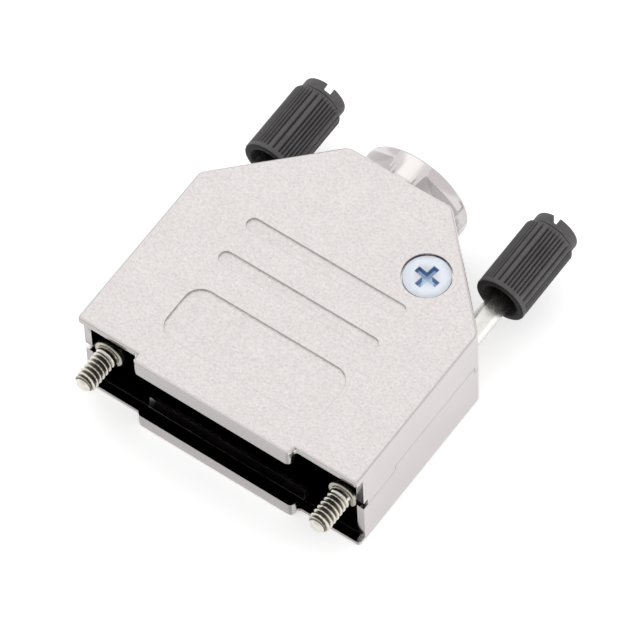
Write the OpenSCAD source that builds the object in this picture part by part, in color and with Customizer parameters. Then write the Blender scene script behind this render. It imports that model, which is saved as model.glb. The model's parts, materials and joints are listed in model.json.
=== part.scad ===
// Two-part die-cast D-sub hood for a 15-way connector, with captive jackscrews.
// X runs across the hood, Y from the connector face back to the cable, Z up.
// The origin is the middle of the connector face, on the parting plane.

/* [Connector] */
// Distance between the two jackscrews
jack_pitch = 33.32; // [32:0.01:48]
// Height of the connector's flange
flange_h = 12.5; // [12:0.1:13.5]
// Thickness of the connector's flange
flange_t = 1.05; // [0.8:0.05:1.6]
// Clearance around the flange in its slot
flange_gap = 0.1; // [0.05:0.05:0.3]

/* [Shell] */
// Distance from a jackscrew's axis out to the side of the hood
side_margin = 3.19; // [3:0.01:4]
// Length of the straight sides
body_l = 24.3; // [24.3:0.1:32]
// Length of the tapered stretch behind them
taper_l = 12.7; // [12:0.1:16]
// Width of the flat back edge
back_w = 14.6; // [14:0.1:17]
// Thickness left under the flange slot
slot_skin = 0.9; // [0.7:0.05:1.3]
// How much deeper the flange slot is than the cavity
slot_sink = 0.2; // [0.1:0.05:0.4]
// Thickness of the side and back walls
side_t = 1.0; // [0.9:0.05:1.1]
// Radius of the plan's rear corners
corner_r = 1.4; // [0.8:0.1:2]
// Radius of the plan's front corners
front_corner_r = 0.5; // [0.3:0.1:0.8]
// Rounding of the outer edges
edge_r = 0.4; // [0.2:0.1:0.7]
// Open line between the two halves
seam = 0.06; // [0.02:0.02:0.12]

/* [Front lips] */
// How far a lip stands in front of the connector face
lip_out = 1.2; // [0.9:0.1:1.6]
// Height of a lip from the outer face
lip_h = 2.5; // [2.1:0.1:3]
// Distance from a jackscrew's axis in to the end of a lip
lip_end_gap = 5.5; // [5.2:0.1:7]
// Radius of a lip's front corners
lip_corner_r = 0.7; // [0.4:0.1:1]
// Radius where a lip's ends run into the plate
lip_root_r = 0.6; // [0.3:0.1:0.9]
// Thickness of the rib behind the flange
rib_t = 0.9; // [0.7:0.1:1.4]
// Height of the rib behind the flange, above the cavity floor
rib_h = 1.2; // [0.8:0.1:1.4]

/* [Interlock] */
// Height of the step between the two side walls
step_h = 1.0; // [0.6:0.1:1.4]
// Where the step starts, behind the connector face
step_start = 7.5; // [6:0.1:10]
// Where the step stops, ahead of the tapered stretch
step_end_gap = 0.9; // [0.8:0.1:2]
// Depth of the small notch at the front of a side wall
notch_d = 0.8; // [0.4:0.1:1.2]
// Height of that notch
notch_h = 1.2; // [0.6:0.1:1.6]

/* [Surface relief] */
// Depth of the label field and the grooves
relief_d = 0.25; // [0.1:0.05:0.35]
// Length of the label field, front to back
label_l = 7.85; // [6:0.05:9]
// Front edge of the label field behind the connector face
label_y = 3.75; // [3:0.05:5]
// Corner radius of the label field
label_r = 2.2; // [1:0.1:2.8]
// Width of a groove
groove_w = 1.85; // [1:0.05:2.5]
// Gap from the label field to the first groove
groove_gap = 3.8; // [2.5:0.1:4]
// Distance between the two grooves
groove_pitch = 5.5; // [4:0.1:6]

/* [Cable entry] */
// Bore of the neck that the cable leaves through
cable_bore_d = 10.5; // [8:0.1:11.5]
// How far the neck stands behind the back edge
neck_l = 3.4; // [2:0.1:6]

/* [Jackscrews] */
// Diameter of the screw's thread and shank
jack_d = 2.84; // [2.4:0.01:3]
// Length of the thread in front of the connector face
thread_reach = 4.1; // [3:0.1:6]
// Radial clearance of a jackscrew in the hood
jack_gap = 0.28; // [0.15:0.01:0.4]
// How far a jackscrew can be pushed forward
travel_front = 1.85; // [1:0.05:2.5]
// How far a jackscrew can be pulled back
travel_back = 4.8; // [3:0.1:6]
// Gap left at either end of that travel
stop_gap = 0.3; // [0.2:0.05:0.5]
// Thickness of the guide rib that stops the retaining ring
guide_t = 1.2; // [0.8:0.1:2]
// Outer diameter of the retaining ring
ring_d = 3.9; // [3.5:0.05:4]
// Thickness of the retaining ring
ring_t = 0.6; // [0.4:0.05:0.8]
// Gap between the flange slot and the retaining ring
ring_gap = 0.15; // [0.1:0.05:0.5]
// Depth of the ring's groove in the screw
ring_groove = 0.3; // [0.2:0.02:0.4]
// Running clearance of the ring in its groove
ring_play = 0.05; // [0.03:0.01:0.1]

/* [Knobs] */
// Diameter of a knob
knob_d = 6.7; // [6:0.1:7.5]
// Length of the fluted stretch
knob_l = 10.4; // [8:0.1:13]
// Diameter of the slotted end
knob_end_d = 5.8; // [5:0.1:5.9]
// Length of the slotted end
knob_end_l = 1.5; // [1.2:0.1:2.5]
// Width and depth of the screwdriver slot
knob_slot = 1.0; // [0.8:0.1:1.1]
// Plain band at either end of the flutes
knob_band = 0.45; // [0.3:0.05:0.8]
// Depth of a flute
flute_d = 0.26; // [0.15:0.01:0.35]
// Groups of flutes round a knob
flute_groups = 4; // [3:1:5]
// Flutes in a group
flutes = 6; // [4:1:7]
// Angle between the flutes of a group
flute_step = 8.5; // [6:0.5:9]
// Diameter of the hollow in the knob's front face
knob_hollow_d = 4.9; // [4:0.1:5.2]
// Depth of that hollow
knob_hollow_l = 2.2; // [1:0.1:3]

/* [Assembly screws] */
// Diameter of an assembly screw
fix_d = 3.0; // [2.5:0.1:3.2]
// Length of an assembly screw, head included
fix_l = 10; // [9:0.1:10.5]
// Diameter of its countersunk head
fix_head_d = 5.8; // [5.2:0.1:6]
// How far the head sits below the outer face
fix_sink = 0.2; // [0.05:0.05:0.4]
// Distance of the screw behind the start of the taper
fix_back = 3.2; // [2.5:0.1:3.6]
// Distance of the screw from the tapered side
fix_margin = 4.5; // [4.3:0.05:5]

/* [Cable clamp] */
// Inner diameter of the closed cable clamp
clamp_d = 8.4; // [7:0.1:8.8]
// Width of the clamp strips along the cable
clamp_w = 5; // [4:0.1:6]
// Thickness of the clamp strips
strip_t = 0.9; // [0.6:0.05:1]
// Gap between the ears of the two clamps
ear_gap = 1.2; // [0.6:0.1:2]
// Length of the ears that the hood's posts hold
ear_hold = 1.5; // [1:0.1:2]
// Distance of the clamp ahead of the assembly screws
clamp_ahead = 7.1; // [6.7:0.1:7.9]
// Diameter of a clamp screw
clamp_screw_d = 2.0; // [1.6:0.1:2.2]

/* [Hidden] */

eps = 0.01;
$fn = 48;
corner_fn = 32;

// Shell
jack_x = jack_pitch / 2;
hood_w = jack_pitch + 2 * side_margin;
half_t = (flange_h + flange_gap) / 2 + slot_skin;
slot_z = -half_t + slot_skin;
floor_z = slot_z + slot_sink;
slot_y = flange_t + flange_gap;
panel_l = body_l + taper_l;
neck_end = panel_l + neck_l;
lip_w = jack_pitch - 2 * lip_end_gap;
taper_run = (hood_w - back_w) / 2;
taper_len = sqrt(taper_run ^ 2 + taper_l ^ 2);
edge_steps = 3;

// Jackscrews
jack_r = jack_d / 2;
ring_y = slot_y + ring_gap;
guide_y = ring_y + ring_t + travel_back + stop_gap;
guide_in = 1.4;
knob_y = taper_y(jack_x - knob_d / 2) + travel_front + stop_gap;
knob_end = knob_y + knob_l + knob_end_l;
knob_floor = 0.5;
shank_end = knob_end - knob_slot - knob_floor;

// Assembly screws
fit_gap = 0.02;
fix_y = body_l + fix_back;
fix_x = hood_w / 2 - fix_back * taper_run / taper_l - fix_margin * taper_len / taper_l;
fix_rim = 0.35;
fix_cone = (fix_head_d - fix_d) / 2;
fix_hole_gap = 0.15;
fix_wall = 0.85;

// Cable clamp
clamp_y = fix_y - clamp_ahead;
clamp_r = clamp_d / 2;
ear_z = ear_gap / 2;
screw_head_d = 1.8 * clamp_screw_d;
screw_head_h = 0.7 * clamp_screw_d;
nut_af = 2 * clamp_screw_d;
nut_h = 0.8 * clamp_screw_d;
clamp_screw_x = clamp_r + strip_t + nut_af / 2;
ear_x = clamp_screw_x + nut_af / 2 + 2 * fit_gap;
clamp_l = 2 * (ear_x + ear_hold);
post_t = 0.9;

// Y at which the tapered outline reaches a given X
function taper_y(x) = body_l + taper_l * (hood_w / 2 - x) / taper_run;

// ---- outlines ----

module rounded(r) {
    offset(r = r, $fn = corner_fn) offset(delta = -r) children();
}

// Plan of one half, lips and neck apart
module plan() {
    ahead = 3 * corner_r;
    rounded(front_corner_r) intersection() {
        rounded(corner_r) polygon([
            [-hood_w / 2, -ahead], [hood_w / 2, -ahead], [hood_w / 2, body_l],
            [back_w / 2, panel_l], [-back_w / 2, panel_l], [-hood_w / 2, body_l]]);
        translate([-hood_w, 0]) square([2 * hood_w, panel_l]);
    }
}

// A slab of the given outline whose lower edge is rounded
module round_edged(top) {
    hull() for (i = [0 : edge_steps]) {
        a = 90 * i / edge_steps;
        low = -half_t + edge_r * (1 - sin(a));
        translate([0, 0, low]) linear_extrude(top - low)
            offset(delta = -edge_r * (1 - cos(a))) children();
    }
}

module along_y(y0, y1) {
    translate([0, y1, 0]) rotate([90, 0, 0]) linear_extrude(y1 - y0) children();
}

// ---- one half of the hood, drawn as the lower one ----

module neck() {
    rotate([-90, 0, 0]) rotate_extrude($fn = 96) polygon([
        [0, panel_l - side_t], [half_t, panel_l - side_t], [half_t, neck_end - edge_r],
        [half_t - edge_r * 0.3, neck_end - edge_r * 0.3], [half_t - edge_r, neck_end],
        [0, neck_end]]);
}

module cavity() {
    translate([0, 0, floor_z]) linear_extrude(half_t * 2)
        intersection() {
            offset(delta = -side_t) translate([0, -side_t]) plan_open();
            translate([-hood_w, -1]) square([2 * hood_w, panel_l - side_t + 1]);
        }
    translate([-hood_w, -1, slot_z]) cube([2 * hood_w, slot_y + 1, half_t * 2]);
}

// The plan carried on past the connector face, so that the cavity is open there
module plan_open() {
    union() {
        translate([0, side_t]) plan();
        translate([-hood_w / 2, -2 * side_t]) square([hood_w, body_l / 2]);
    }
}

module lip() {
    difference() {
        union() {
            round_edged(-half_t + lip_h) rounded(lip_corner_r)
                translate([-lip_w / 2, -lip_out]) square([lip_w, lip_out + 2 * lip_corner_r]);
            for (s = [-1, 1]) scale([s, 1, 1]) lip_root();
        }
        translate([-hood_w, 0, slot_z]) cube([2 * hood_w, panel_l, half_t]);
    }
}

module lip_root() {
    translate([lip_w / 2, -lip_root_r, -half_t + edge_r])
        linear_extrude(slot_skin - edge_r) difference() {
            translate([-eps, 0]) square([lip_root_r + eps, lip_root_r + eps]);
            translate([lip_root_r, 0]) circle(lip_root_r);
        }
}

module flange_rib() {
    translate([-lip_w / 2, slot_y, floor_z - eps]) cube([lip_w, rib_t, rib_h + eps]);
}

module guide_rib(s) {
    rib_w = side_margin + guide_in + jack_r + jack_gap;
    translate([s > 0 ? hood_w / 2 - rib_w : -hood_w / 2 + side_t - eps, guide_y, floor_z - eps])
        cube([rib_w - side_t + eps, guide_t, -floor_z + eps]);
}

module clamp_post(s) {
    post_in = ear_x + 2 * fit_gap;
    post_w = ear_hold + post_t;
    long = clamp_w + 2 * fit_gap + 2 * post_t;
    translate([s > 0 ? post_in : -post_in - post_w, clamp_y - long / 2, floor_z - eps])
        cube([post_w, long, -floor_z + eps]);
}

// Room in the posts for the ears of the clamp
module ear_slot() {
    long = clamp_w + 2 * fit_gap;
    translate([-clamp_l / 2 - 2 * fit_gap, clamp_y - long / 2, -ear_z - strip_t])
        cube([clamp_l + 4 * fit_gap, long, half_t]);
}

module boss(x, r) {
    translate([x, fix_y, floor_z - eps]) cylinder(r = r, h = -floor_z + eps);
}

// Countersunk through hole on the head's side
module fix_hole() {
    head_r = fix_head_d / 2;
    translate([-fix_x, fix_y, -half_t - eps]) {
        cylinder(r = head_r + fix_hole_gap, h = fix_sink + fix_rim + eps);
        translate([0, 0, fix_sink + fix_rim + eps - fit_gap])
            cylinder(r1 = head_r + fit_gap, r2 = fix_d / 2 + fit_gap, h = fix_cone);
        cylinder(r = fix_d / 2 + fix_hole_gap, h = half_t * 2);
    }
}

// Blind threaded hole for the other half's screw
module tapped_hole() {
    depth = fix_l + fix_sink - half_t + 4 * fix_hole_gap;
    translate([fix_x, fix_y, -depth]) cylinder(r = fix_d / 2 + fit_gap, h = half_t * 2);
}

// Everything that the other half fills
module above_parting() {
    step_end = body_l - step_end_gap;
    wall = side_t + eps;
    top = 3 * half_t;
    difference() {
        translate([-hood_w, -2 * lip_out, -seam / 2]) cube([2 * hood_w, neck_end * 2, top]);
        translate([hood_w / 2 - side_t, step_start + seam / 2, -1])
            cube([side_t + 1, step_end - step_start - seam, 1 + step_h - seam / 2]);
    }
    translate([-hood_w / 2 - 1, step_start - seam / 2, -step_h - seam / 2])
        cube([wall + 1 - eps, step_end - step_start + seam, top]);
    translate([-hood_w / 2 - 1, slot_y - eps, -notch_h])
        cube([wall + 1 - eps, notch_d, top]);
}

module relief() {
    translate([0, 0, -half_t - 1]) linear_extrude(relief_d + 1) {
        rounded(label_r) translate([-lip_w / 2, label_y]) square([lip_w, label_l]);
        for (i = [0, 1])
            translate([-lip_w / 2, label_y + label_l + groove_gap + i * groove_pitch])
                rounded(groove_w / 2 - eps) square([lip_w, groove_w]);
    }
}

module half_shell() {
    difference() {
        union() {
            difference() {
                union() {
                    round_edged(step_h + seam) plan();
                    neck();
                }
                cavity();
            }
            lip();
            flange_rib();
            for (s = [-1, 1]) {
                guide_rib(s);
                clamp_post(s);
            }
            boss(-fix_x, fix_head_d / 2 + fix_hole_gap + fix_wall);
            boss(fix_x, fix_d / 2 + 2 * fix_wall);
        }
        above_parting();
        ear_slot();
        fix_hole();
        tapped_hole();
        relief();
        along_y(panel_l - 2 * side_t, neck_end + 1) circle(cable_bore_d / 2, $fn = 96);
        for (s = [-1, 1])
            along_y(guide_y - 1, panel_l) translate([s * jack_x, 0]) circle(jack_r + jack_gap);
    }
}

// ---- fasteners ----

module cross_recess(size, depth) {
    arm = size / 4;
    for (a = [0, 90]) rotate([0, 0, a])
        translate([-size / 2, -arm / 2, -depth]) cube([size, arm, depth + 1]);
}

// Countersunk screw, head up, top of the head at the origin
module assembly_screw() {
    r = fix_d / 2;
    tip = 0.3;
    difference() {
        rotate_extrude() polygon([
            [0, 0], [fix_head_d / 2, 0], [fix_head_d / 2, -fix_rim], [r, -fix_rim - fix_cone],
            [r, -fix_l + tip], [r - tip, -fix_l], [0, -fix_l]]);
        rotate([0, 0, 45]) cross_recess(fix_head_d / 2, fix_rim + fix_cone / 2);
    }
}

module jackscrew(s) {
    tip = 0.6;
    groove_r = jack_r - ring_groove;
    translate([s * jack_x, 0, 0]) rotate([-90, 0, 0]) rotate_extrude() polygon([
        [0, -thread_reach], [jack_r - tip, -thread_reach], [jack_r - tip / 4, -thread_reach + tip / 2],
        [jack_r, -thread_reach + tip], [jack_r, ring_y - ring_play], [groove_r, ring_y - ring_play],
        [groove_r, ring_y + ring_t + ring_play], [jack_r, ring_y + ring_t + ring_play],
        [jack_r, shank_end], [0, shank_end]]);
}

// Open retaining ring with three inner teeth
module retaining_ring(s) {
    inner = jack_r - ring_groove + ring_play;
    web = jack_r + ring_play;
    translate([s * jack_x, 0, 0]) along_y(ring_y, ring_y + ring_t) {
        difference() {
            circle(ring_d / 2);
            circle(web);
            translate([-inner, -ring_d]) square([2 * inner, ring_d]);
        }
        for (a = [0, 90, 180]) rotate(a) difference() {
            translate([inner, -inner / 3]) square([web - inner + eps * 5, inner * 2 / 3]);
            circle(inner);
        }
    }
}

// ---- knob ----

module flute_outline() {
    r = knob_d / 2;
    difference() {
        circle(r, $fn = 96);
        for (g = [0 : flute_groups - 1], i = [0 : flutes - 1])
            rotate(360 * g / flute_groups + (i - (flutes - 1) / 2) * flute_step)
                polygon([[r - flute_d, 0], [r + flute_d, -flute_d], [r + flute_d, flute_d]]);
    }
}

module knob_blank() {
    r = knob_d / 2;
    soft = 0.25;
    rotate([-90, 0, 0]) rotate_extrude($fn = 96) polygon([
        [0, knob_y], [r - soft, knob_y], [r, knob_y + soft], [r, knob_y + knob_l - 2 * soft],
        [r - 2 * soft, knob_y + knob_l], [knob_end_d / 2, knob_y + knob_l],
        [knob_end_d / 2, knob_end - soft], [knob_end_d / 2 - soft, knob_end], [0, knob_end]]);
}

module knob(s) {
    hollow_r = knob_hollow_d / 2;
    translate([s * jack_x, 0, 0]) difference() {
        intersection() {
            knob_blank();
            union() {
                along_y(knob_y, knob_y + knob_band) circle(knob_d);
                along_y(knob_y + knob_band, knob_y + knob_l - knob_band) flute_outline();
                along_y(knob_y + knob_l - knob_band, knob_end) circle(knob_d);
            }
        }
        along_y(knob_y - 1, shank_end) circle(jack_r + eps);
        translate([0, knob_y, 0]) rotate([-90, 0, 0])
            cylinder(r1 = hollow_r, r2 = jack_r + 2 * eps, h = knob_hollow_l);
        translate([-knob_slot / 2, knob_end - knob_slot, -knob_d])
            cube([knob_slot, knob_slot + 1, 2 * knob_d]);
    }
}

// ---- cable clamp ----

// Saddle strip with an ear at either side, arched upwards
module clamp_strip() {
    outer = clamp_r + strip_t;
    difference() {
        along_y(clamp_y - clamp_w / 2, clamp_y + clamp_w / 2) difference() {
            union() {
                intersection() {
                    circle(outer);
                    translate([-outer, ear_z]) square([2 * outer, outer]);
                }
                translate([-clamp_l / 2, ear_z]) square([clamp_l, strip_t]);
            }
            circle(clamp_r);
        }
        for (s = [-1, 1]) translate([s * clamp_screw_x, clamp_y, 0])
            cylinder(d = clamp_screw_d + 2 * fix_hole_gap, h = half_t);
    }
}

module clamp_screw(s) {
    r = clamp_screw_d / 2;
    under = ear_z + strip_t;
    tail = under + nut_h + r / 2;
    translate([s * clamp_screw_x, clamp_y, 0]) difference() {
        union() {
            translate([0, 0, under]) cylinder(d = screw_head_d, h = screw_head_h);
            translate([0, 0, -tail]) cylinder(r = r, h = tail + under + eps);
        }
        translate([-screw_head_d, -r / 4, under + screw_head_h / 2])
            cube([2 * screw_head_d, r / 2, screw_head_h]);
    }
}

module clamp_nut(s) {
    translate([s * clamp_screw_x, clamp_y, -ear_z - strip_t - nut_h]) difference() {
        rotate([0, 0, 30]) cylinder(d = nut_af / cos(30), h = nut_h, $fn = 6);
        translate([0, 0, -1]) cylinder(d = clamp_screw_d + 2 * fit_gap, h = nut_h + 2);
    }
}

// ---- sub-parts ----

module upper_shell() { color("gainsboro") rotate([0, 180, 0]) half_shell(); }
module lower_shell() { color("silver") half_shell(); }
module upper_assembly_screw() {
    color("lightsteelblue") translate([fix_x, fix_y, half_t - fix_sink]) assembly_screw();
}
module lower_assembly_screw() {
    color("lightsteelblue") rotate([0, 180, 0])
        translate([fix_x, fix_y, half_t - fix_sink]) assembly_screw();
}
module left_jackscrew() { color("lightgray") jackscrew(-1); }
module right_jackscrew() { color("lightgray") jackscrew(1); }
module left_knob() { color("dimgray") knob(-1); }
module right_knob() { color("dimgray") knob(1); }
module left_retaining_ring() { color("darkkhaki") retaining_ring(-1); }
module right_retaining_ring() { color("darkkhaki") retaining_ring(1); }
module upper_cable_clamp() { color("lightslategray") clamp_strip(); }
module lower_cable_clamp() { color("lightslategray") rotate([0, 180, 0]) clamp_strip(); }
module left_clamp_screw() { color("steelblue") clamp_screw(-1); }
module right_clamp_screw() { color("steelblue") clamp_screw(1); }
module left_clamp_nut() { color("steelblue") clamp_nut(-1); }
module right_clamp_nut() { color("steelblue") clamp_nut(1); }

upper_shell();
lower_shell();
upper_assembly_screw();
lower_assembly_screw();
left_jackscrew();
right_jackscrew();
left_knob();
right_knob();
left_retaining_ring();
right_retaining_ring();
upper_cable_clamp();
lower_cable_clamp();
left_clamp_screw();
right_clamp_screw();
left_clamp_nut();
right_clamp_nut();
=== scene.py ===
"""Shells, screws, knobs and finishes of a two-part die-cast D-sub hood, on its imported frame.

Lengths are metres in the frame's own axes: X across the hood, Y from the connector face back to the
cable, Z up. The origin is the middle of the connector face, on the parting plane.
"""

import json
import math

import bmesh
import bpy
from bpy.props import FloatProperty, FloatVectorProperty, IntProperty, PointerProperty
from bpy.types import Operator, Panel, PropertyGroup
from mathutils import Matrix, Vector

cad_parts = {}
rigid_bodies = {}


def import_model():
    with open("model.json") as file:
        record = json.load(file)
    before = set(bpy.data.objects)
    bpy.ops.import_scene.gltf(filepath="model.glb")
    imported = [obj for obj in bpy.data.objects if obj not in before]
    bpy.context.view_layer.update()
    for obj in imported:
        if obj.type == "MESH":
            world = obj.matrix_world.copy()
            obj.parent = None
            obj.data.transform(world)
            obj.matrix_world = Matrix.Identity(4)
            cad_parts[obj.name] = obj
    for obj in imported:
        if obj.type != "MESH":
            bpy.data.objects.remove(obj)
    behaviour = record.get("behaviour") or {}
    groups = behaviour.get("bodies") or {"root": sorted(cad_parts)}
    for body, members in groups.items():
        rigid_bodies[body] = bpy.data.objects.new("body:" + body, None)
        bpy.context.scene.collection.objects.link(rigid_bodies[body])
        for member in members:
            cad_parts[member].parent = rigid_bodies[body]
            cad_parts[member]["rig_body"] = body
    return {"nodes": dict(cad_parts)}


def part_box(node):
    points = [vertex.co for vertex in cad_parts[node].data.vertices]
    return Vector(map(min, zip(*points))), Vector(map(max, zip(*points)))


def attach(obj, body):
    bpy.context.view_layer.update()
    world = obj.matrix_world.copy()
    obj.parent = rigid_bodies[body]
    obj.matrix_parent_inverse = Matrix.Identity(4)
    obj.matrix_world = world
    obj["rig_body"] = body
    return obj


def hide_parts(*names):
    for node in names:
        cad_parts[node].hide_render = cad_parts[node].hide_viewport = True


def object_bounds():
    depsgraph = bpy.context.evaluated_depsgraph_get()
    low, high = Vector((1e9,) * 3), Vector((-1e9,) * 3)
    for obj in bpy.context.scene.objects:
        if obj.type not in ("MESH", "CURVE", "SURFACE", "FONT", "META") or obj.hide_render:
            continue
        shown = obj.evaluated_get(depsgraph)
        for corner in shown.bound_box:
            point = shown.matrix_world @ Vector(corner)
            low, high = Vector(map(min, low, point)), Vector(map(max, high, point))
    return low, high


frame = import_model()
CAD_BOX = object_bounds()

bl_info = {
    "name": "D-sub Hood",
    "version": (1, 0, 0),
    "blender": (4, 5, 0),
    "location": "View3D > Sidebar > Hood",
    "description": "Shells, screws, knobs and finishes of a two-part die-cast connector hood",
    "category": "Add Mesh",
}

MM = 0.001
NEAR = 0.01 * MM
MERGED = 0.0005 * MM
SIDES = ("left", "right")


def linear(code):
    """An sRGB hex colour such as #ccc8c2 as linear red, green, blue."""
    channels = (int(code[i : i + 2], 16) / 255 for i in (1, 3, 5))
    return tuple(c / 12.92 if c <= 0.04045 else ((c + 0.055) / 1.055) ** 2.4 for c in channels)


def length(name, description, value):
    """A property for a length, whose default is in metres."""
    return FloatProperty(
        name=name, description=description, default=value, min=0.0, precision=5, unit="LENGTH"
    )


def degrees(name, description, value, **limits):
    """A property for an angle, whose default is in degrees."""
    return FloatProperty(
        name=name, description=description, default=math.radians(value), subtype="ANGLE", **limits
    )


def colour(name, description, code):
    """A property for a colour, whose default is an sRGB hex value."""
    return FloatVectorProperty(
        name=name, description=description, subtype="COLOR", size=3, min=0.0, max=1.0, default=linear(code)
    )


def extent(node):
    """Lowest corner, highest corner and middle of a CAD node."""
    low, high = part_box(node)
    return low, high, (low + high) / 2


SHELL_HIGH = extent("upper_shell")[1]
SCREW_LOW, SCREW_HIGH, SCREW_MID = extent("right_jackscrew")
RING_LOW, RING_HIGH, _ = extent("right_retaining_ring")
KNOB_LOW, KNOB_HIGH, _ = extent("right_knob")
HEAD_HIGH = extent("upper_assembly_screw")[1]


class HoodShellSizes(PropertyGroup):
    """Where the broad faces, the sides and the inside of the shells lie."""

    straight_side: length("Straight side", "Length of the sides before they start to taper", 24.3 * MM)
    panel: length("Panel", "Length of the hood from the connector face to its flat back edge", 37.0 * MM)
    back_width: length("Back edge", "Width of the flat back edge", 14.6 * MM)
    relief: length("Relief", "Depth of the label field and of the grooves", 0.25 * MM)
    slot: length("Flange slot", "Length of the slot that holds the connector's flange", 1.15 * MM)
    edge: length("Broken edge", "Width of the bevel along an edge of the casting", 0.15 * MM)
    rib_half: length("Rib", "Half the width of the rib behind the flange slot", 11.16 * MM)
    rib_lean: length("Rib lean", "How far the front of that rib leans back", 0.45 * MM)
    brim: length("Soft brim", "Width of the bevel round the label field and the grooves", 0.2 * MM)
    grit: length("Grit", "Grain of the sand texture on the broad faces", 0.34 * MM)


class HoodThreadSizes(PropertyGroup):
    """The jackscrews' thread."""

    pitch: length("Pitch", "Distance from one turn of the thread to the next", 0.635 * MM)
    depth: length("Thread depth", "Depth of the thread from its crest to its root", 0.36 * MM)
    thread_length: length("Thread length", "Length of the thread behind the screw's tip", 4.9 * MM)
    groove_depth: length("Ring groove", "Depth of the groove that holds the retaining ring", 0.3 * MM)


class HoodKnobSizes(PropertyGroup):
    """The moulded knobs on the jackscrews."""

    grip: length("Grip", "Length of the fluted stretch of a knob", 10.4 * MM)
    end_diameter: length("End diameter", "Diameter of the slotted end of a knob", 5.8 * MM)
    band: length("Band", "Plain band at either end of the flutes", 0.45 * MM)
    flute_depth: length("Flute depth", "Depth of a flute", 0.26 * MM)
    groups: IntProperty(
        name="Flute groups", description="Groups of flutes round a knob", default=5, min=2, max=6
    )
    flutes: IntProperty(name="Flutes", description="Flutes in a group", default=6, min=2, max=8)
    flute_step: degrees("Flute step", "Angle between the flutes of a group", 8.4, min=0.05, max=0.3)
    phase: degrees("Phase", "Angle from the hood's X axis to the middle of a group of flutes", 65)
    left_turn: degrees("Left turn", "How far the left knob stands turned from the right one", -19)
    hollow: length("Hollow", "Diameter of the hollow in a knob's front face", 4.9 * MM)
    hollow_depth: length("Hollow depth", "Depth of that hollow", 2.2 * MM)
    slot: length("Slot", "Width and depth of the screwdriver slot", 1.0 * MM)


class HoodFixingSizes(PropertyGroup):
    """The countersunk screws that hold the two shells together."""

    spread: FloatProperty(
        name="Spread",
        description="How much wider the cross recess is than the plain solid's",
        default=1.12,
        min=1.0,
        max=1.3,
    )
    turn: degrees("Turn", "How far the cross recess is turned from the hood's X axis", -9)


class HoodFinishes(PropertyGroup):
    """Colours of the hood's finishes, with the near-black painted shade inside the hood and on the knobs'
    front faces and hollows.
    """

    nickel: colour("Nickel plate", "Satin nickel plate on the zinc casting", "#d6d1d0")
    # painted shade: near black, put on the hood's inside in place of the shade that falls there
    painted_cavity_shade: colour("Inside", "Nickel plate in the unlit inside of the hood", "#141314")
    steel: colour("Bright steel", "Bright nickel plate on the jackscrews", "#d9d5cb")
    shank: colour("Bright shank", "Polished shank of the jackscrews, behind the thread", "#f1efea")
    root: colour("Thread root", "Oil and shade in the roots of the thread", "#5c574b")
    spring: colour("Spring steel", "Oiled spring steel of the retaining rings", "#b9b5a8")
    zinc: colour("Blue zinc", "Blue-passivated zinc on the assembly screws", "#cbd0d8")
    recess: colour("Recess", "Shaded blue zinc in the cross recess", "#a9bcd6")
    grip: colour("Grip", "Moulded nylon of the knobs", "#565455")
    # painted shade: near black, used on the knob's front face and in its hollow
    hollow: colour("Hollow", "Moulded nylon in the hollow of the knobs", "#171617")


class HoodStage(PropertyGroup):
    """Floor, light and camera."""

    azimuth: degrees("Azimuth", "Turn of the camera round the hood", 37.987)
    elevation: degrees("Elevation", "Height of the camera", 58.496)
    roll: degrees("Roll", "Roll of the camera about its view", -3.012)
    distance: length("Distance", "Distance of the camera from the hood", 924.4 * MM)
    aim_right: length("Aim right", "How far the view's middle is to the right of the origin", 11.781 * MM)
    aim_up: length("Aim up", "How far the view's middle is above the origin", 12.972 * MM)
    lens: FloatProperty(
        name="Lens", description="Focal length in millimetres", default=450.0, min=20.0, soft_max=600.0
    )
    floor: colour("Floor", "Paper floor", "#fdfdfd")


GROUPS = {
    "hood_shell": HoodShellSizes,
    "hood_thread": HoodThreadSizes,
    "hood_knob": HoodKnobSizes,
    "hood_fixing": HoodFixingSizes,
    "hood_finish": HoodFinishes,
    "hood_stage": HoodStage,
}


# ---- materials ----


def set_inputs(tree, node, inputs):
    """Links a node's inputs to other nodes' outputs, or sets their values."""
    for socket, value in inputs.items():
        if isinstance(value, bpy.types.NodeSocket):
            tree.links.new(value, node.inputs[socket])
        else:
            node.inputs[socket].default_value = value


def add_node(tree, kind, inputs=None, **settings):
    """Adds a node with its settings and links."""
    node = tree.nodes.new(kind)
    for name, value in settings.items():
        setattr(node, name, value)
    set_inputs(tree, node, inputs or {})
    return node


def new_material(name):
    """An empty material, its tree and a Principled shader joined to the output."""
    material = bpy.data.materials.new(name)
    material.use_nodes = True
    tree = material.node_tree
    tree.nodes.clear()
    shader = add_node(tree, "ShaderNodeBsdfPrincipled")
    add_node(tree, "ShaderNodeOutputMaterial", {"Surface": shader.outputs["BSDF"]})
    return material, tree, shader


def rgba(value):
    return (*value, 1.0)


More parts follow.
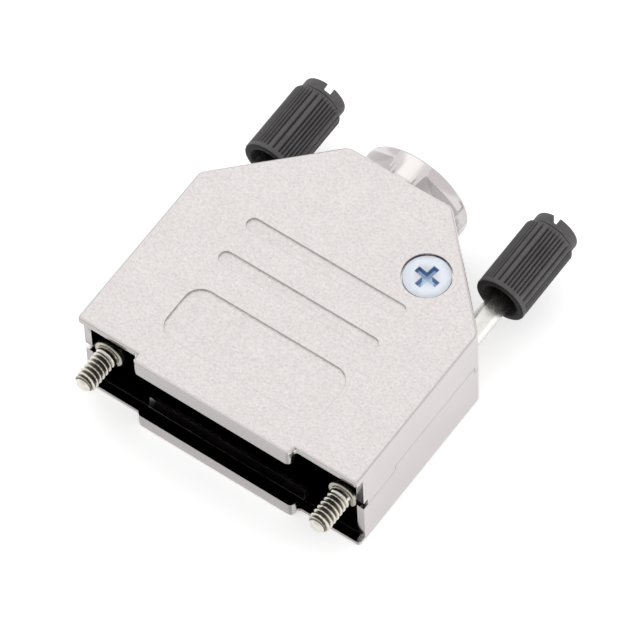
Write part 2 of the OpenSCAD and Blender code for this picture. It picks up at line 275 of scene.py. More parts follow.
def nickel_plated_zinc(sizes, finish):
    """Nickel-plated zinc die casting: satin sand texture on the broad faces, glossy sides, and painted
    shade: near black inside, darker on the front, the sides and the relief's steps.
    """
    material, tree, shader = new_material("nickel_plated_zinc")
    place = add_node(tree, "ShaderNodeTexCoord").outputs
    spot = add_node(tree, "ShaderNodeSeparateXYZ", {0: place["Object"]})
    facing = add_node(tree, "ShaderNodeSeparateXYZ", {0: place["Normal"]})
    made = {"x": spot.outputs[0], "along": spot.outputs[1], "z": spot.outputs[2]}
    made |= {f"faces_{axis}": facing.outputs[i] for i, axis in enumerate("xyz")}
    # sand of the die's spark erosion, its coarser patches, and flow marks some millimetres long
    patterns = (
        ("grain", sizes.grit, 2.5, 0.55),
        ("mottle", 2.4 * sizes.grit, 1.0, 0.5),
        ("flow", 3.0 * MM, 1.5, 0.5),
    )
    for name, size, detail, roughness in patterns:
        noise = {"Scale": 1 / size, "Detail": detail, "Roughness": roughness}
        noise["Vector"] = place["Object"]
        made[name] = add_node(tree, "ShaderNodeTexNoise", noise).outputs["Fac"]

    half = SHELL_HIGH.x
    run = half - sizes.back_width / 2
    taper = sizes.panel - sizes.straight_side
    slant = math.hypot(run, taper)
    skin, rib_below, rib_length, margin = 0.6 * MM, 2.4 * MM, 1.0 * MM, 1.0 * MM
    # painted shade: how much darker the front, the sides and the relief's steps are drawn
    front_painted_shade, side_painted_shade, relief_step_painted_shade = -0.36, -0.14, -0.12
    steps = (
        ("across", "ABSOLUTE", "x"),
        ("up", "ABSOLUTE", "z"),
        ("flat", "ABSOLUTE", "faces_z"),
        # how deep a spot lies under the outer skin: sides, taper, back and broad faces
        ("from_side", "SUBTRACT", half, "across"),
        ("taper_x", "MULTIPLY", "across", taper / slant),
        ("taper_y", "MULTIPLY", "along", run / slant),
        ("on_taper", "ADD", "taper_x", "taper_y"),
        ("from_taper", "SUBTRACT", (half * taper + sizes.straight_side * run) / slant, "on_taper"),
        ("from_top", "SUBTRACT", SHELL_HIGH.z, "up"),
        ("from_back", "SUBTRACT", sizes.panel, "along"),
        ("in_plan", "MINIMUM", "from_side", "from_taper"),
        ("in_plan", "MINIMUM", "in_plan", "from_back"),
        ("depth", "MINIMUM", "in_plan", "from_top"),
        # painted shade: spots deeper than the skin, behind the flange slot or on level faces, take the
        # near-black inside colour
        ("inside", "GREATER_THAN", "depth", skin),
        ("behind", "GREATER_THAN", "along", sizes.slot + 0.06 * MM),
        ("level", "GREATER_THAN", "flat", 0.7),
        ("unlit", "MAXIMUM", "behind", "level"),
        ("painted_inside_shade", "MULTIPLY", "inside", "unlit"),
        # light still falls on the rib just behind the flange slot, so the painted shade leaves it out
        ("rib", "LESS_THAN", "from_top", rib_below),
        ("rib_back", "LESS_THAN", "along", sizes.slot + rib_length),
        ("rib", "MULTIPLY", "rib", "rib_back"),
        ("rib_front", "GREATER_THAN", "along", sizes.slot - 0.02 * MM),
        ("rib", "MULTIPLY", "rib", "rib_front"),
        ("rib_ends", "LESS_THAN", "across", sizes.rib_half + 0.05 * MM),
        ("rib", "MULTIPLY", "rib", "rib_ends"),
        ("not_rib", "SUBTRACT", 1.0, "rib"),
        ("painted_inside_shade", "MULTIPLY", "painted_inside_shade", "not_rib"),
        # the sand texture covers the broad faces, down to the floor of the relief
        ("broad", "GREATER_THAN", "flat", 0.94),
        ("shallow", "LESS_THAN", "from_top", sizes.relief + 0.05 * MM),
        ("broad", "MULTIPLY", "broad", "shallow"),
        ("on_panel", "GREATER_THAN", "from_back", -NEAR),
        ("broad", "MULTIPLY", "broad", "on_panel"),
        ("sand", "MULTIPLY_ADD", "mottle", 0.4, "grain"),
        ("sand", "MULTIPLY", "sand", "broad"),
        ("flow_marks", "MULTIPLY", "flow", 0.35),
        ("height", "ADD", "sand", "flow_marks"),
        # painted shade: the plate is drawn darker on the front, on the sides and on the steps of the relief
        ("step", "LESS_THAN", "flat", 0.98),
        ("in_relief", "LESS_THAN", "from_top", sizes.relief + 0.02 * MM),
        ("step", "MULTIPLY", "step", "in_relief"),
        ("off_edge", "MINIMUM", "in_plan", "along"),
        ("off_edge", "GREATER_THAN", "off_edge", margin),
        ("step", "MULTIPLY", "step", "off_edge"),
        ("not_step", "SUBTRACT", 1.0, "step"),
        ("front", "MULTIPLY", "faces_y", -1.0),
        ("front", "GREATER_THAN", "front", 0.7),
        ("front", "MULTIPLY", "front", "not_step"),
        ("aside", "ABSOLUTE", "faces_x"),
        ("aside", "GREATER_THAN", "aside", 0.3),
        ("tone", "MULTIPLY_ADD", "aside", side_painted_shade, 1.0),
        ("tone", "MULTIPLY_ADD", "front", front_painted_shade, "tone"),
        ("tone", "MULTIPLY_ADD", "step", relief_step_painted_shade, "tone"),
        ("grain_off", "SUBTRACT", "grain", 0.5),
        ("grain_share", "MULTIPLY", "broad", 0.42),
        # the sand's random grain, plus the painted shade of the facing
        ("shade", "MULTIPLY_ADD", "grain_off", "grain_share", "tone"),
        ("gloss", "MULTIPLY_ADD", "flow", 0.1, 0.16),
        ("gloss", "MULTIPLY_ADD", "broad", 0.2, "gloss"),
    )
    for name, operation, *values in steps:
        inputs = {i: made[v] if isinstance(v, str) else v for i, v in enumerate(values)}
        made[name] = add_node(tree, "ShaderNodeMath", inputs, operation=operation).outputs[0]

    bump = add_node(
        tree, "ShaderNodeBump", {"Height": made["height"], "Strength": 0.9, "Distance": 0.11 * MM}
    ).outputs["Normal"]
    tinted = {0: 1.0, 6: rgba(finish.nickel), 7: made["shade"]}
    plate = add_node(tree, "ShaderNodeMix", tinted, data_type="RGBA", blend_type="MULTIPLY").outputs[2]
    # painted shade: the near-black inside colour takes the place of the plate there
    base = add_node(
        tree, "ShaderNodeMix", {0: made["painted_inside_shade"], 6: plate, 7: rgba(finish.painted_cavity_shade)}, data_type="RGBA"
    ).outputs[2]
    set_inputs(
        tree, shader, {"Base Color": base, "Roughness": made["gloss"], "Normal": bump, "Metallic": 1.0}
    )
    return material


def from_axis(tree, place, centre_x):
    """How far a spot is from the nearer jackscrew's axis, and how far along that axis."""
    spot = add_node(tree, "ShaderNodeSeparateXYZ", {0: place["Object"]})
    across = add_node(tree, "ShaderNodeMath", {0: spot.outputs[0]}, operation="ABSOLUTE").outputs[0]
    across = add_node(tree, "ShaderNodeMath", {0: across, 1: centre_x}, operation="SUBTRACT").outputs[0]
    flat = add_node(tree, "ShaderNodeCombineXYZ", {0: across, 2: spot.outputs[2]}).outputs[0]
    radius = add_node(tree, "ShaderNodeVectorMath", {0: flat}, operation="LENGTH").outputs["Value"]
    return radius, spot.outputs[1]


def nickel_plated_steel(sizes, finish):
    """Turned steel under bright nickel: polished on the shank, with oil and shade in the thread's roots."""
    material, tree, shader = new_material("nickel_plated_steel")
    place = add_node(tree, "ShaderNodeTexCoord").outputs
    radius, along = from_axis(tree, place, SCREW_MID.x)
    crest = (SCREW_HIGH.x - SCREW_LOW.x) / 2
    on_crest = add_node(
        tree,
        "ShaderNodeMapRange",
        {0: radius, 1: crest - sizes.depth, 2: crest - 0.25 * sizes.depth},
        interpolation_type="SMOOTHSTEP",
    ).outputs[0]
    shank = add_node(
        tree, "ShaderNodeMath", {0: along, 1: SCREW_LOW.y + sizes.thread_length}, operation="GREATER_THAN"
    ).outputs[0]
    dome = add_node(
        tree, "ShaderNodeMath", {0: along, 1: SCREW_LOW.y + 0.6 * sizes.pitch}, operation="LESS_THAN"
    ).outputs[0]
    bright = add_node(tree, "ShaderNodeMath", {0: on_crest, 1: shank}, operation="MAXIMUM").outputs[0]
    bright = add_node(tree, "ShaderNodeMath", {0: bright, 1: dome}, operation="MAXIMUM").outputs[0]
    stains = add_node(
        tree, "ShaderNodeTexNoise", {"Vector": place["Object"], "Scale": 1 / (0.6 * MM), "Detail": 3.0}
    ).outputs["Fac"]
    base = add_node(
        tree,
        "ShaderNodeMix",
        {0: bright, 6: rgba(finish.root), 7: rgba(finish.steel)},
        data_type="RGBA",
    ).outputs[2]
    base = add_node(
        tree, "ShaderNodeMix", {0: shank, 6: base, 7: rgba(finish.shank)}, data_type="RGBA"
    ).outputs[2]
    tint = add_node(tree, "ShaderNodeMapRange", {0: stains, 3: 0.84, 4: 1.06}).outputs[0]
    base = add_node(
        tree, "ShaderNodeMix", {0: 1.0, 6: base, 7: tint}, data_type="RGBA", blend_type="MULTIPLY"
    ).outputs[2]
    turning = add_node(
        tree,
        "ShaderNodeTexWave",
        {"Vector": place["Object"], "Scale": 1 / (0.5 * MM), "Distortion": 0.6, "Detail": 1.0},
        bands_direction="Y",
    ).outputs["Fac"]
    bump = add_node(
        tree, "ShaderNodeBump", {"Height": turning, "Strength": 0.2, "Distance": 0.004 * MM}
    ).outputs["Normal"]
    gloss = add_node(tree, "ShaderNodeMapRange", {0: stains, 3: 0.16, 4: 0.3}).outputs[0]
    set_inputs(
        tree, shader, {"Base Color": base, "Roughness": gloss, "Normal": bump, "Metallic": 1.0}
    )
    return material


def moulded_nylon(sizes, finish):
    """Glass-filled nylon, injection moulded: dark grey satin with a fine grain, painted shade in the flutes'
    roots, and near-black painted shade on the front face and in the hollow.
    """
    material, tree, shader = new_material("moulded_nylon")
    place = add_node(tree, "ShaderNodeTexCoord").outputs
    radius, along = from_axis(tree, place, SCREW_MID.x)
    # painted shade: faces turned to the front and the hollow take the near-black hollow colour
    facing = add_node(tree, "ShaderNodeSeparateXYZ", {0: place["Normal"]})
    front = add_node(
        tree, "ShaderNodeMath", {0: facing.outputs[1], 1: -0.5}, operation="LESS_THAN"
    ).outputs[0]
    within = add_node(
        tree, "ShaderNodeMath", {0: radius, 1: sizes.hollow / 2 + 0.1 * MM}, operation="LESS_THAN"
    ).outputs[0]
    ahead = add_node(
        tree, "ShaderNodeMath", {0: along, 1: KNOB_LOW.y + sizes.grip / 2}, operation="LESS_THAN"
    ).outputs[0]
    within = add_node(tree, "ShaderNodeMath", {0: within, 1: ahead}, operation="MULTIPLY").outputs[0]
    dark = add_node(tree, "ShaderNodeMath", {0: front, 1: within}, operation="MAXIMUM").outputs[0]
    # painted shade: the flutes darken towards their roots, to a fifth of the grip colour; the slotted end
    # stays plain
    root = add_node(
        tree,
        "ShaderNodeMapRange",
        {
            0: radius,
            1: KNOB_HIGH.z - sizes.flute_depth,
            2: KNOB_HIGH.z - 0.2 * sizes.flute_depth,
            3: 0.2,
            4: 1.0,
        },
        interpolation_type="SMOOTHSTEP",
    ).outputs[0]
    on_grip = add_node(
        tree, "ShaderNodeMath", {0: along, 1: KNOB_LOW.y + sizes.grip}, operation="GREATER_THAN"
    ).outputs[0]
    root = add_node(tree, "ShaderNodeMath", {0: root, 1: on_grip}, operation="MAXIMUM").outputs[0]
    # glass fibres that reach the surface, drawn coarser than their 0.01 mm so that they show
    fibres = add_node(
        tree, "ShaderNodeTexNoise", {"Vector": place["Object"], "Scale": 1 / (0.16 * MM), "Detail": 3.0}
    ).outputs["Fac"]
    clouds = add_node(
        tree, "ShaderNodeTexNoise", {"Vector": place["Object"], "Scale": 1 / (1.8 * MM), "Detail": 2.0}
    ).outputs["Fac"]
    tone = add_node(tree, "ShaderNodeMath", {0: fibres, 1: clouds}, operation="ADD").outputs[0]
    tone = add_node(tree, "ShaderNodeMapRange", {0: tone, 1: 0.6, 2: 1.4, 3: 0.8, 4: 1.2}).outputs[0]
    tone = add_node(tree, "ShaderNodeMath", {0: tone, 1: root}, operation="MULTIPLY").outputs[0]
    tinted = {0: 1.0, 6: rgba(finish.grip), 7: tone}
    skin = add_node(tree, "ShaderNodeMix", tinted, data_type="RGBA", blend_type="MULTIPLY").outputs[2]
    base = add_node(
        tree, "ShaderNodeMix", {0: dark, 6: skin, 7: rgba(finish.hollow)}, data_type="RGBA"
    ).outputs[2]
    bump = add_node(
        tree, "ShaderNodeBump", {"Height": fibres, "Strength": 0.4, "Distance": 0.02 * MM}
    ).outputs["Normal"]
    surface = {"Roughness": 0.6, "IOR": 1.53, "Specular IOR Level": 0.25}
    set_inputs(tree, shader, {"Base Color": base, "Normal": bump, **surface})
    return material


def blue_passivated_zinc(finish):
    """Zinc plate with blue passivation: bright with a cold tint, darker and bluer down in the recess."""
    material, tree, shader = new_material("blue_passivated_zinc")
    place = add_node(tree, "ShaderNodeTexCoord").outputs
    spot = add_node(tree, "ShaderNodeSeparateXYZ", {0: place["Object"]})
    height = add_node(tree, "ShaderNodeMath", {0: spot.outputs[2]}, operation="ABSOLUTE").outputs[0]
    face = add_node(
        tree,
        "ShaderNodeMapRange",
        {0: height, 1: HEAD_HIGH.z - 0.5 * MM, 2: HEAD_HIGH.z - 0.04 * MM},
        interpolation_type="SMOOTHSTEP",
    ).outputs[0]
    clouds = add_node(
        tree, "ShaderNodeTexNoise", {"Vector": place["Object"], "Scale": 1 / (0.7 * MM), "Detail": 3.0}
    ).outputs["Fac"]
    base = add_node(
        tree, "ShaderNodeMix", {0: face, 6: rgba(finish.recess), 7: rgba(finish.zinc)}, data_type="RGBA"
    ).outputs[2]
    tint = add_node(tree, "ShaderNodeMapRange", {0: clouds, 3: 0.9, 4: 1.06}).outputs[0]
    base = add_node(
        tree, "ShaderNodeMix", {0: 1.0, 6: base, 7: tint}, data_type="RGBA", blend_type="MULTIPLY"
    ).outputs[2]
    gloss = add_node(tree, "ShaderNodeMapRange", {0: clouds, 3: 0.22, 4: 0.38}).outputs[0]
    bump = add_node(
        tree, "ShaderNodeBump", {"Height": clouds, "Strength": 0.25, "Distance": 0.03 * MM}
    ).outputs["Normal"]
    set_inputs(
        tree, shader, {"Base Color": base, "Roughness": gloss, "Normal": bump, "Metallic": 1.0}
    )
    return material


def plain_steel(name, tone, stain_size, roughness):
    """Rolled or stamped steel with the faint clouds of its plating or oil."""
    material, tree, shader = new_material(name)
    place = add_node(tree, "ShaderNodeTexCoord").outputs
    clouds = add_node(
        tree, "ShaderNodeTexNoise", {"Vector": place["Object"], "Scale": 1 / stain_size, "Detail": 3.0}
    ).outputs["Fac"]
    tint = add_node(tree, "ShaderNodeMapRange", {0: clouds, 3: 0.8, 4: 1.1}).outputs[0]
    base = add_node(
        tree, "ShaderNodeMix", {0: 1.0, 6: rgba(tone), 7: tint}, data_type="RGBA", blend_type="MULTIPLY"
    ).outputs[2]
    gloss = add_node(
        tree, "ShaderNodeMapRange", {0: clouds, 3: roughness, 4: roughness + 0.15}
    ).outputs[0]
    bump = add_node(
        tree, "ShaderNodeBump", {"Height": clouds, "Strength": 0.2, "Distance": 0.02 * MM}
    ).outputs["Normal"]
    set_inputs(
        tree, shader, {"Base Color": base, "Roughness": gloss, "Normal": bump, "Metallic": 1.0}
    )
    return material


# ---- meshes ----


def finish_piece(bm, name, material, node, smooth_angle=35, smooth=True):
    """Makes the bmesh an object that rides on the CAD node's body and stands for the node."""
    mesh = bpy.data.meshes.new(name)
    bm.to_mesh(mesh)
    bm.free()
    piece = bpy.data.objects.new(name, mesh)
    bpy.context.scene.collection.objects.link(piece)
    mesh.materials.append(material)
    if smooth:
        mesh.shade_smooth()
    mesh.set_sharp_from_angle(angle=math.radians(smooth_angle))
    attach(piece, frame["nodes"][node]["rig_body"])
    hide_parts(node)
    return piece


def merged_copy(node):
    """The CAD node's faces as one closed bmesh, with flat faces joined again."""
    bm = bmesh.new()
    bm.from_mesh(frame["nodes"][node].data)
    bmesh.ops.remove_doubles(bm, verts=bm.verts, dist=MERGED)
    bmesh.ops.dissolve_limit(
        bm, angle_limit=math.radians(0.5), verts=bm.verts, edges=bm.edges, use_dissolve_boundaries=False
    )
    bm.normal_update()
    return bm


def bevel_sharp(bm, width, wanted, angle=40):
    """Breaks the sharp edges that are wanted."""
    edges = [
        e
        for e in bm.edges
        if len(e.link_faces) == 2 and e.calc_face_angle(0) > math.radians(angle) and wanted(e)
    ]
    bmesh.ops.bevel(
        bm,
        geom=edges,
        offset=width,
        offset_type="OFFSET",
        affect="EDGES",
        segments=2,
        profile=0.5,
        material=-1,
        clamp_overlap=True,
    )


def lathe(profile, steps, centre_x):
    """Spins a profile of radius and Y round an axis along Y."""
    bm = bmesh.new()
    points = [bm.verts.new((centre_x + r, y, 0)) for r, y in profile]
    lines = [bm.edges.new(pair) for pair in zip(points, points[1:])]
    bmesh.ops.spin(
        bm,
        geom=points + lines,
        cent=(centre_x, 0, 0),
        axis=(0, 1, 0),
        angle=math.tau,
        steps=steps,
        use_merge=True,
    )
    bmesh.ops.remove_doubles(bm, verts=bm.verts, dist=MERGED)
    bmesh.ops.recalc_face_normals(bm, faces=bm.faces)
    return bm


class HOOD_OT_shells(Operator):
    """Adds the two die-cast shells, with their edges broken"""

    bl_idname = "hood.shells"
    bl_label = "Shells"

    def execute(self, context):
        sizes = context.scene.hood_shell
        material = nickel_plated_zinc(sizes, context.scene.hood_finish)

        def open_edge(edge):
            """An edge at the connector's opening, the relief or the neck's bore, away from fine fits."""
            spots = [v.co for v in edge.verts]
            front = all(s.y < sizes.slot + 1.2 * MM for s in spots)
            relief = all(abs(s.z) > SHELL_HIGH.z - sizes.relief - 0.02 * MM for s in spots)
            bore = all(s.y > sizes.panel + 1.0 * MM for s in spots)
            parting = any(abs(s.z) < 0.1 * MM for s in spots)
            return (front or relief or bore) and not parting and edge.calc_length() > 0.12 * MM

        def brim(edge):
            """An edge where the label field or a groove starts to sink in."""
            spots = [v.co for v in edge.verts]
            outside = all(abs(s.z) > SHELL_HIGH.z - NEAR for s in spots)
            return outside and all(abs(s.x) < sizes.rib_half + 0.1 * MM and s.y > 1.0 * MM for s in spots)

        for node in ("upper_shell", "lower_shell"):
            bm = merged_copy(node)
            # the rib behind the flange slot leans back
            for vert in bm.verts:
                height = SHELL_HIGH.z - abs(vert.co.z)
                if abs(vert.co.y - sizes.slot) < NEAR and 1.6 * MM < height < 2.6 * MM:
                    if abs(vert.co.x) < sizes.rib_half + 0.05 * MM:
                        vert.co.y += sizes.rib_lean

            bevel_sharp(bm, sizes.brim, brim, angle=70)
            bevel_sharp(bm, sizes.edge, open_edge)

            # the round neck is fine enough to stay faceted
            for face in bm.faces:
                face.smooth = face.calc_center_median().y < sizes.panel + 0.05 * MM
            piece = finish_piece(bm, f"{node}_casting", material, node, smooth=False)
            weighted = piece.modifiers.new("even_faces", "WEIGHTED_NORMAL")
            weighted.keep_sharp = True
            weighted.weight = 100
        return {"FINISHED"}


class HOOD_OT_jackscrews(Operator):
    """Adds the two jackscrews, with a real thread, a domed tip and the ring's groove"""

    bl_idname = "hood.jackscrews"
    bl_label = "Jackscrews"
    rings_a_turn = 16
    steps_round = 64
    root_share, flank_share = 0.18, 0.62

    def execute(self, context):
        sizes = context.scene.hood_thread
        material = nickel_plated_steel(sizes, context.scene.hood_finish)
        for side in SIDES:
            node = f"{side}_jackscrew"
            low, high, mid = extent(node)
            crest = (high.x - low.x) / 2
            root = crest - sizes.depth
            tip = 0.62 * crest
            start, stop = low.y + 0.3 * MM, low.y + sizes.thread_length
            rings = round((stop - start) / sizes.pitch * self.rings_a_turn)
            # a dome at the tip, the thread's stretch, then the ring's groove and the plain shank
            profile = [(0, low.y), (0.45 * tip, low.y + 0.03 * MM), (0.85 * tip, low.y + 0.12 * MM)]
            profile += [(crest, start + (stop - start) * i / rings) for i in range(rings + 1)]
            play, chamfer = 0.05 * MM, 0.1 * MM
            profile += [
                (crest, RING_LOW.y - play),
                (crest - sizes.groove_depth, RING_LOW.y - play),
                (crest - sizes.groove_depth, RING_HIGH.y + play),
                (crest, RING_HIGH.y + play),
                (crest, high.y - chamfer),
                (crest - chamfer, high.y),
                (0, high.y),
            ]
            bm = lathe(profile, self.steps_round, mid.x)
            for vert in bm.verts:
                y = vert.co.y
                if not start - NEAR < y < stop + NEAR:
                    continue
                out = Vector((vert.co.x - mid.x, 0, vert.co.z))
                turn = math.atan2(out.z, out.x) / math.tau
                # 0 in the middle of a root, 1 in the middle of a crest
                phase = abs(((y / sizes.pitch - turn) % 1.0) - 0.5) * 2
                ridge = min(max((phase - self.root_share) / self.flank_share, 0.0), 1.0)
                run_out = min(1.0, (stop - y) / sizes.pitch)
                lead_in = min(1.0, (y - start) / (0.9 * sizes.pitch))
                radius = crest - sizes.depth * (1 - ridge) * max(run_out, 0)
                if lead_in < 1:
                    radius = min(radius, tip + (crest - tip) * math.sin(lead_in * math.pi / 2))
                radius = max(radius, min(root, tip) if y < start + sizes.pitch else root)
                vert.co.x, vert.co.z = mid.x + out.x / out.length * radius, out.z / out.length * radius
            finish_piece(bm, f"{node}_turned", material, node, smooth_angle=50)
        return {"FINISHED"}


class HOOD_OT_knobs(Operator):
    """Adds the two moulded knobs, with flutes, a hollow front face and a screwdriver slot"""

    bl_idname = "hood.knobs"
    bl_label = "Knobs"
    steps_round = 360

    def execute(self, context):
        sizes = context.scene.hood_knob
        material = moulded_nylon(sizes, context.scene.hood_finish)
        for side in SIDES:
            node = f"{side}_knob"
            low, high, mid = extent(node)
            outer = (high.x - low.x) / 2
            bore = (SCREW_HIGH.x - SCREW_LOW.x) / 2 + 0.01 * MM
            floor = extent(f"{side}_jackscrew")[1].y
            grip = low.y + sizes.grip
            end = sizes.end_diameter / 2
            soft = 0.25 * MM
            first, last = low.y + sizes.band, grip - sizes.band
            fade = 0.35 * MM
            profile = [
                (0, floor),
                (bore, floor),
                (bore, low.y + sizes.hollow_depth),
                (sizes.hollow / 2 - 0.08 * MM, low.y + 0.1 * MM),
                (sizes.hollow / 2, low.y + 0.02 * MM),
                (sizes.hollow / 2 + 0.08 * MM, low.y),
                (outer - soft, low.y),
                (outer - 0.3 * soft, low.y + 0.3 * soft),
                (outer, low.y + soft),
                (outer, first),
                (outer, first + fade / 2),
                (outer, first + fade),
                (outer, (first + last) / 2),
                (outer, last - fade),
                (outer, last - fade / 2),
                (outer, last),
                (outer, grip - 2 * soft),
                (outer - 0.4 * soft, grip - soft),
                (outer - 2 * soft, grip),
                (end + 0.06 * MM, grip),
                (end, grip + 0.06 * MM),
                (end, high.y - soft),
                (end - 0.3 * soft, high.y - 0.3 * soft),
                (end - soft, high.y),
                (0, high.y),
            ]
            bm = lathe(profile, self.steps_round, mid.x)
            half_width = sizes.flute_step * 0.46
            for vert in bm.verts:
                y = vert.co.y
                out = Vector((vert.co.x - mid.x, 0, vert.co.z))
                if out.length < outer - NEAR or not first < y < last:
                    continue
                sunk = min(1.0, (y - first) / fade, (last - y) / fade)
                sector = math.tau / sizes.groups
                angle = (math.atan2(out.z, out.x) - sizes.phase + sector / 2) % sector - sector / 2
                nearest = round(angle / sizes.flute_step + (sizes.flutes - 1) / 2)
                nearest = min(max(nearest, 0), sizes.flutes - 1)
                away = abs(angle - (nearest - (sizes.flutes - 1) / 2) * sizes.flute_step)
                away = min(away, sector / 2 - abs(angle))
                groove = max(0.0, 1 - away / half_width)
                radius = outer - sizes.flute_depth * sunk * groove
                vert.co.x, vert.co.z = mid.x + out.x / out.length * radius, out.z / out.length * radius
            cut_slot(bm, mid.x, high.y, sizes.slot, end)
            if side == "left":
                # a turn from X towards Z is a negative one about Y
                turned = Matrix.Rotation(-sizes.left_turn, 3, "Y")
                bmesh.ops.rotate(bm, verts=bm.verts, cent=(mid.x, 0, 0), matrix=turned)
            finish_piece(bm, f"{node}_moulding", material, node)
        return {"FINISHED"}


def with_corners(faces):
    """The faces with their edges and vertices, as bisect_plane takes them."""
    return faces + list({e for f in faces for e in f.edges}) + list({v for f in faces for v in f.verts})


def cut_slot(bm, centre_x, end_y, width, reach):
    """Cuts a screwdriver slot across the end of the solid, open at both sides, along Z."""
    floor = end_y - width
    start = end_y - 1.6 * MM
    for x in (centre_x - width / 2, centre_x + width / 2):
        near = with_corners([f for f in bm.faces if f.calc_center_median().y > start])
        bmesh.ops.bisect_plane(bm, geom=near, plane_co=(x, 0, 0), plane_no=(1, 0, 0), dist=MERGED)
    near = []
    for face in bm.faces:
        middle = face.calc_center_median()
        if middle.y > start and math.hypot(middle.x - centre_x, middle.z) > 0.9 * reach:
            near.append(face)
    bmesh.ops.bisect_plane(
        bm, geom=with_corners(near), plane_co=(0, floor, 0), plane_no=(0, 1, 0), dist=MERGED
    )
    middles = [(f, f.calc_center_median()) for f in bm.faces]
    gone = [f for f, middle in middles if middle.y > floor and abs(middle.x - centre_x) < width / 2]
    bmesh.ops.delete(bm, geom=gone, context="FACES")
    # drop the rim down to the slot's floor, then close the floor
    grown = bmesh.ops.extrude_edge_only(bm, edges=[e for e in bm.edges if e.is_boundary])
    for part in grown["geom"]:
        if isinstance(part, bmesh.types.BMVert):
            part.co.y = floor
    bmesh.ops.remove_doubles(bm, verts=bm.verts, dist=MERGED)
    bmesh.ops.delete(bm, geom=[f for f in bm.faces if f.calc_area() < 1e-14], context="FACES")
    bmesh.ops.holes_fill(bm, edges=[e for e in bm.edges if e.is_boundary], sides=0)
    bmesh.ops.recalc_face_normals(bm, faces=bm.faces)


class HOOD_OT_retaining_rings(Operator):
    """Adds the two open retaining rings that keep the jackscrews in the hood"""

    bl_idname = "hood.retaining_rings"
    bl_label = "Retaining Rings"

    def execute(self, context):
        material = plain_steel("oiled_spring_steel", context.scene.hood_finish.spring, 0.5 * MM, 0.22)
        for side in SIDES:
            node = f"{side}_retaining_ring"
            bm = merged_copy(node)
            bevel_sharp(bm, 0.05 * MM, lambda edge: edge.calc_length() > 0.15 * MM)
            finish_piece(bm, f"{node}_stamping", material, node)
        return {"FINISHED"}


class HOOD_OT_assembly_screws(Operator):
    """Adds the two countersunk screws, with their cross recess"""

    bl_idname = "hood.assembly_screws"
    bl_label = "Assembly Screws"
    recess_reach, recess_depth = 1.499 * MM, 1.2 * MM

    def execute(self, context):
        sizes = context.scene.hood_fixing
        material = blue_passivated_zinc(context.scene.hood_finish)
        for node in ("upper_assembly_screw", "lower_assembly_screw"):
            bm = merged_copy(node)
            middle = extent(node)[2]
            # the plain solid's recess stands at 45 degrees
            driven = Matrix.Rotation(sizes.turn - math.radians(45), 3, "Z")
            bmesh.ops.rotate(bm, verts=bm.verts, cent=(middle.x, middle.y, 0), matrix=driven)
            # widen the recess alone, which lies within the shank's radius near the head's face
            for vert in bm.verts:
                out = Vector((vert.co.x - middle.x, vert.co.y - middle.y, 0))
                depth = HEAD_HIGH.z - abs(vert.co.z)
                if out.length < self.recess_reach and depth < self.recess_depth:
                    vert.co += out * (sizes.spread - 1)
            bevel_sharp(bm, 0.05 * MM, lambda edge: edge.calc_length() > 0.15 * MM)
            finish_piece(bm, f"{node}_plated", material, node)
        return {"FINISHED"}


class HOOD_OT_cable_clamp(Operator):
    """Adds the two clamp strips inside the hood, with their screws and nuts"""

    bl_idname = "hood.cable_clamp"
    bl_label = "Cable Clamp"

    def execute(self, context):
        finish = context.scene.hood_finish
        strip = plain_steel("pressed_steel_strip", finish.steel, 1.2 * MM, 0.28)
        screw = plain_steel("zinc_plated_screw", finish.zinc, 0.6 * MM, 0.25)
        pieces = [("upper_cable_clamp", strip, "bright_steel"), ("lower_cable_clamp", strip, "bright_steel")]
        for side in SIDES:
            pieces += [(f"{side}_clamp_{kind}", screw, "blue_zinc") for kind in ("screw", "nut")]
        for node, material, slot in pieces:
            bm = merged_copy(node)
            bevel_sharp(bm, 0.08 * MM, lambda edge: edge.calc_length() > 0.2 * MM)
            finish_piece(bm, f"{node}_part", material, node)
        return {"FINISHED"}


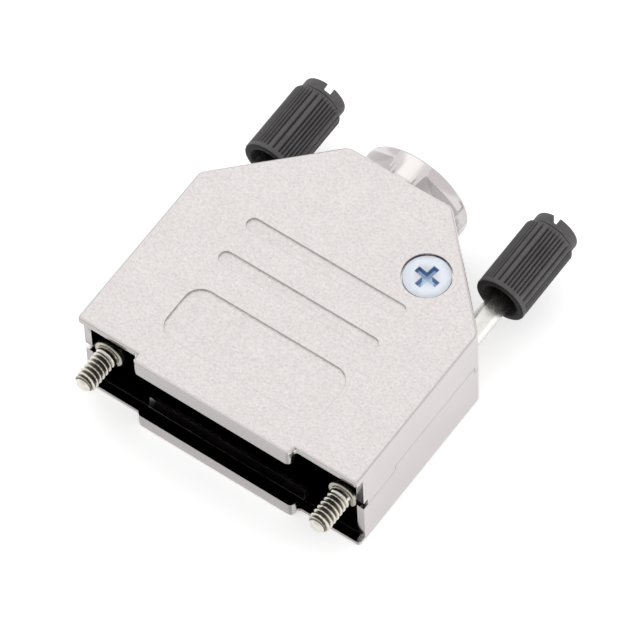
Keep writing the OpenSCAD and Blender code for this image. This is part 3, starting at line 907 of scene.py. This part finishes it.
class HOOD_OT_stage(Operator):
    """Adds the pale floor, the soft lights and the camera"""

    bl_idname = "hood.stage"
    bl_label = "Stage"

    def execute(self, context):
        stage = context.scene.hood_stage
        bm = bmesh.new()
        bmesh.ops.create_grid(bm, x_segments=1, y_segments=1, size=1.5)
        bmesh.ops.translate(bm, verts=bm.verts, vec=(0, 0, CAD_BOX[0].z - NEAR))
        mesh = bpy.data.meshes.new("floor")
        bm.to_mesh(mesh)
        bm.free()
        floor = bpy.data.objects.new("floor", mesh)
        context.scene.collection.objects.link(floor)
        paper, tree, shader = new_material("matt_paper")
        set_inputs(tree, shader, {"Base Color": rgba(stage.floor), "Roughness": 0.9})
        # lit from below as well, as a light table is, so that the shadow stays faint
        set_inputs(tree, shader, {"Emission Color": rgba(stage.floor), "Emission Strength": 0.3})
        mesh.materials.append(paper)

        world = bpy.data.worlds.new("soft_tent")
        world.use_nodes = True
        tent = world.node_tree.nodes["Background"]
        tent.inputs["Color"].default_value = (1.0, 1.0, 1.0, 1.0)
        tent.inputs["Strength"].default_value = 1.0
        context.scene.world = world

        back = Vector(
            (
                math.sin(stage.azimuth) * math.cos(stage.elevation),
                -math.cos(stage.azimuth) * math.cos(stage.elevation),
                math.sin(stage.elevation),
            )
        )
        level = Vector((math.cos(stage.azimuth), math.sin(stage.azimuth), 0))
        right = Matrix.Rotation(stage.roll, 3, back) @ level
        up = back.cross(right)
        lights = (
            ("key_softbox", (-0.25, 0.35, 0.6), 0.45, 0.3),
            ("fill_softbox", (0.5, -0.1, 0.4), 0.4, 0.1),
        )
        for name, place, size, power in lights:
            light = bpy.data.lights.new(name, "AREA")
            light.shape, light.size, light.energy = "SQUARE", size, power
            lamp = bpy.data.objects.new(name, light)
            lamp.location = place
            lamp.rotation_euler = Vector(place).to_track_quat("Z", "Y").to_euler()
            context.scene.collection.objects.link(lamp)

        camera = bpy.data.cameras.new("camera")
        camera.lens, camera.sensor_width = stage.lens, 36.0
        camera.clip_start, camera.clip_end = 0.01, 10.0
        eye = bpy.data.objects.new("camera", camera)
        turn = Matrix((right, up, back)).transposed().to_4x4()
        aim = stage.aim_right * right + stage.aim_up * up
        eye.matrix_world = Matrix.Translation(aim + stage.distance * back) @ turn
        context.scene.collection.objects.link(eye)
        context.scene.camera = eye
        context.scene.view_settings.view_transform = "Standard"
        return {"FINISHED"}


OPERATORS = (
    HOOD_OT_shells,
    HOOD_OT_jackscrews,
    HOOD_OT_knobs,
    HOOD_OT_retaining_rings,
    HOOD_OT_assembly_screws,
    HOOD_OT_cable_clamp,
    HOOD_OT_stage,
)


class HOOD_PT_panel(Panel):
    """Lists the hood's pieces, sizes and finishes"""

    bl_label = "D-sub Hood"
    bl_idname = "HOOD_PT_panel"
    bl_space_type = "VIEW_3D"
    bl_region_type = "UI"
    bl_category = "Hood"

    def draw(self, context):
        for operator in OPERATORS:
            self.layout.operator(operator.bl_idname)
        for group in GROUPS:
            box = self.layout.box()
            values = getattr(context.scene, group)
            for name in values.bl_rna.properties.keys():
                if name not in {"rna_type", "name"}:
                    box.prop(values, name)


def register():
    for cls in (*GROUPS.values(), *OPERATORS, HOOD_PT_panel):
        bpy.utils.register_class(cls)
    for name, cls in GROUPS.items():
        setattr(bpy.types.Scene, name, PointerProperty(type=cls))


def unregister():
    for name in GROUPS:
        delattr(bpy.types.Scene, name)
    for cls in reversed((*GROUPS.values(), *OPERATORS, HOOD_PT_panel)):
        bpy.utils.unregister_class(cls)


def main():
    """Builds every piece and the stage."""
    register()
    bpy.ops.hood.shells()
    bpy.ops.hood.jackscrews()
    bpy.ops.hood.knobs()
    bpy.ops.hood.retaining_rings()
    bpy.ops.hood.assembly_screws()
    bpy.ops.hood.cable_clamp()
    bpy.ops.hood.stage()


if __name__ == "__main__":
    main()
